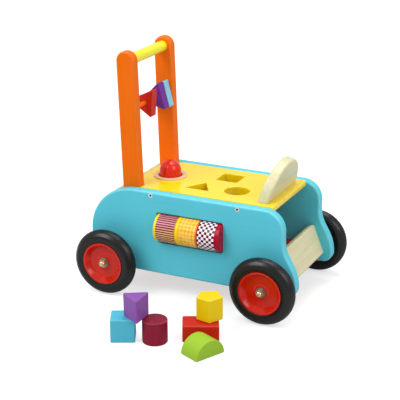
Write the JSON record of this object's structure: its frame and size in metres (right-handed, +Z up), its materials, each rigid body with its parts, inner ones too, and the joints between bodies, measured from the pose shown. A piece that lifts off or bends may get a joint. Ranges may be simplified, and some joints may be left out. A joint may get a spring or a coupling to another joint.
{
  "type": "baby walker",
  "caption": "Wooden push-along baby walker with an upright handle, a lid with shape-sorter holes, turning picture drums, spinning triangles, a squeaking button and loose blocks.",
  "frame": {"origin": "on the floor, midway between the two axles and midway between the side panels", "axes": "+X the way the walker rolls forward, +Y towards its left side, +Z up"},
  "size_m": [0.424, 0.4556, 0.4337],
  "materials": {
    "blue_painted_wood": "satin paint",
    "orange_painted_wood": "satin paint",
    "yellow_painted_wood": "gloss paint",
    "red_painted_wood": "satin paint",
    "crimson_painted_wood": "satin paint",
    "purple_painted_wood": "satin paint",
    "pale_blue_painted_wood": "satin paint",
    "green_painted_wood": "satin paint",
    "cream_wood": "clear varnish",
    "natural_wood": "clear varnish",
    "red_hub": "moulded satin",
    "red_plastic": "moulded gloss",
    "black_tyre": "matt rubber",
    "grey_rubber": "matt rubber",
    "white_plastic": "moulded matt",
    "zinc_steel": "zinc plated",
    "brass": "polished"
  },
  "bodies": {
    "frame": {"axle_keepers": "natural_wood", "axle_washers": "zinc_steel", "bin_floor": "red_painted_wood", "bin_front_board": "cream_wood", "button_ring": "natural_wood", "cap_nuts": "brass", "cup_screws": "zinc_steel", "drum_axle": "zinc_steel", "drum_washer": "zinc_steel", "floor_cleats": "natural_wood", "front_axle": "zinc_steel", "handle_bar": "yellow_painted_wood", "horn_cup": "white_plastic", "lid_liner": "yellow_painted_wood", "lid_screws": "zinc_steel", "rear_axle": "zinc_steel", "rear_cover": "yellow_painted_wood", "side_panel_left": "blue_painted_wood", "side_panel_right": "blue_painted_wood", "spinner_dowel": "orange_painted_wood", "squeaker_bellows": "grey_rubber", "top_panel": "yellow_painted_wood", "upright_left": "orange_painted_wood", "upright_right": "orange_painted_wood", "upright_screws": "zinc_steel", "wheel_spacers": "natural_wood", "windscreen": "cream_wood", "windscreen_pins": "natural_wood"},
    "horn_button": {"horn_button": "red_plastic"},
    "wheel_front_right": {"hub_front_right": "red_hub", "tyre_front_right": "black_tyre"},
    "wheel_front_left": {"hub_front_left": "red_hub", "tyre_front_left": "black_tyre"},
    "wheel_rear_right": {"hub_rear_right": "red_hub", "tyre_rear_right": "black_tyre"},
    "wheel_rear_left": {"hub_rear_left": "red_hub", "tyre_rear_left": "black_tyre"},
    "drum_striped": {"drum_striped": "yellow_painted_wood"},
    "drum_mosaic": {"drum_mosaic": "yellow_painted_wood"},
    "drum_checkered": {"drum_checkered": "crimson_painted_wood"},
    "spinner_red": {"spinner_red": "red_painted_wood"},
    "spinner_purple": {"spinner_purple": "purple_painted_wood"},
    "spinner_blue": {"spinner_blue": "pale_blue_painted_wood"},
    "block_cube": {"block_cube": "blue_painted_wood"},
    "block_triangle": {"block_triangle": "purple_painted_wood"},
    "block_cylinder": {"block_cylinder": "crimson_painted_wood"},
    "block_brick": {"block_brick": "red_painted_wood"},
    "block_pentagon": {"block_pentagon": "yellow_painted_wood"},
    "block_half_round": {"block_half_round": "green_painted_wood"}
  },
  "joints": [
    {"name": "wheel_front_right_spin", "type": "hinge", "parent": "frame", "child": "wheel_front_right", "pos_m": [0.152, -0.1305, 0.06], "axis": [0, 1, 0], "continuous": true},
    {"name": "wheel_front_left_spin", "type": "hinge", "parent": "frame", "child": "wheel_front_left", "pos_m": [0.152, 0.1305, 0.06], "axis": [0, 1, 0], "continuous": true},
    {"name": "wheel_rear_right_spin", "type": "hinge", "parent": "frame", "child": "wheel_rear_right", "pos_m": [-0.152, -0.1305, 0.06], "axis": [0, 1, 0], "continuous": true},
    {"name": "wheel_rear_left_spin", "type": "hinge", "parent": "frame", "child": "wheel_rear_left", "pos_m": [-0.152, 0.1305, 0.06], "axis": [0, 1, 0], "continuous": true},
    {"name": "drum_striped_spin", "type": "hinge", "parent": "frame", "child": "drum_striped", "pos_m": [0, -0.0925, 0.1285], "axis": [1, 0, 0], "continuous": true},
    {"name": "drum_mosaic_spin", "type": "hinge", "parent": "frame", "child": "drum_mosaic", "pos_m": [0, -0.0925, 0.1285], "axis": [1, 0, 0], "continuous": true},
    {"name": "drum_checkered_spin", "type": "hinge", "parent": "frame", "child": "drum_checkered", "pos_m": [0, -0.0925, 0.1285], "axis": [1, 0, 0], "continuous": true},
    {"name": "spinner_red_spin", "type": "hinge", "parent": "frame", "child": "spinner_red", "pos_m": [-0.12923, 0, 0.32805], "axis": [0, 1, 0], "continuous": true},
    {"name": "spinner_purple_spin", "type": "hinge", "parent": "frame", "child": "spinner_purple", "pos_m": [-0.12923, 0, 0.32805], "axis": [0, 1, 0], "continuous": true},
    {"name": "spinner_blue_spin", "type": "hinge", "parent": "frame", "child": "spinner_blue", "pos_m": [-0.12923, 0, 0.32805], "axis": [0, 1, 0], "continuous": true},
    {"name": "horn_button_press", "type": "slide", "parent": "frame", "child": "horn_button", "axis": [0, 0, 1], "range_m": [-0.005, 0], "stiffness_N_per_m": 400, "springref_m": 0.002, "deforming": ["squeaker_bellows"]},
    {"name": "block_cube_lift", "type": "slide", "parent": "frame", "child": "block_cube", "axis": [0, 0, 1], "range_m": [0, 0.08]},
    {"name": "block_triangle_lift", "type": "slide", "parent": "block_cube", "child": "block_triangle", "axis": [0, 0, 1], "range_m": [0, 0.06]},
    {"name": "block_cylinder_pull", "type": "slide", "parent": "frame", "child": "block_cylinder", "axis": [0, -1, 0], "range_m": [0, 0.06]},
    {"name": "block_brick_lift", "type": "slide", "parent": "frame", "child": "block_brick", "axis": [0, 0, 1], "range_m": [0, 0.08]},
    {"name": "block_pentagon_lift", "type": "slide", "parent": "block_brick", "child": "block_pentagon", "axis": [0, 0, 1], "range_m": [0, 0.06]},
    {"name": "block_half_round_lift", "type": "slide", "parent": "frame", "child": "block_half_round", "axis": [0, 0, 1], "range_m": [0, 0.08]}
  ]
}
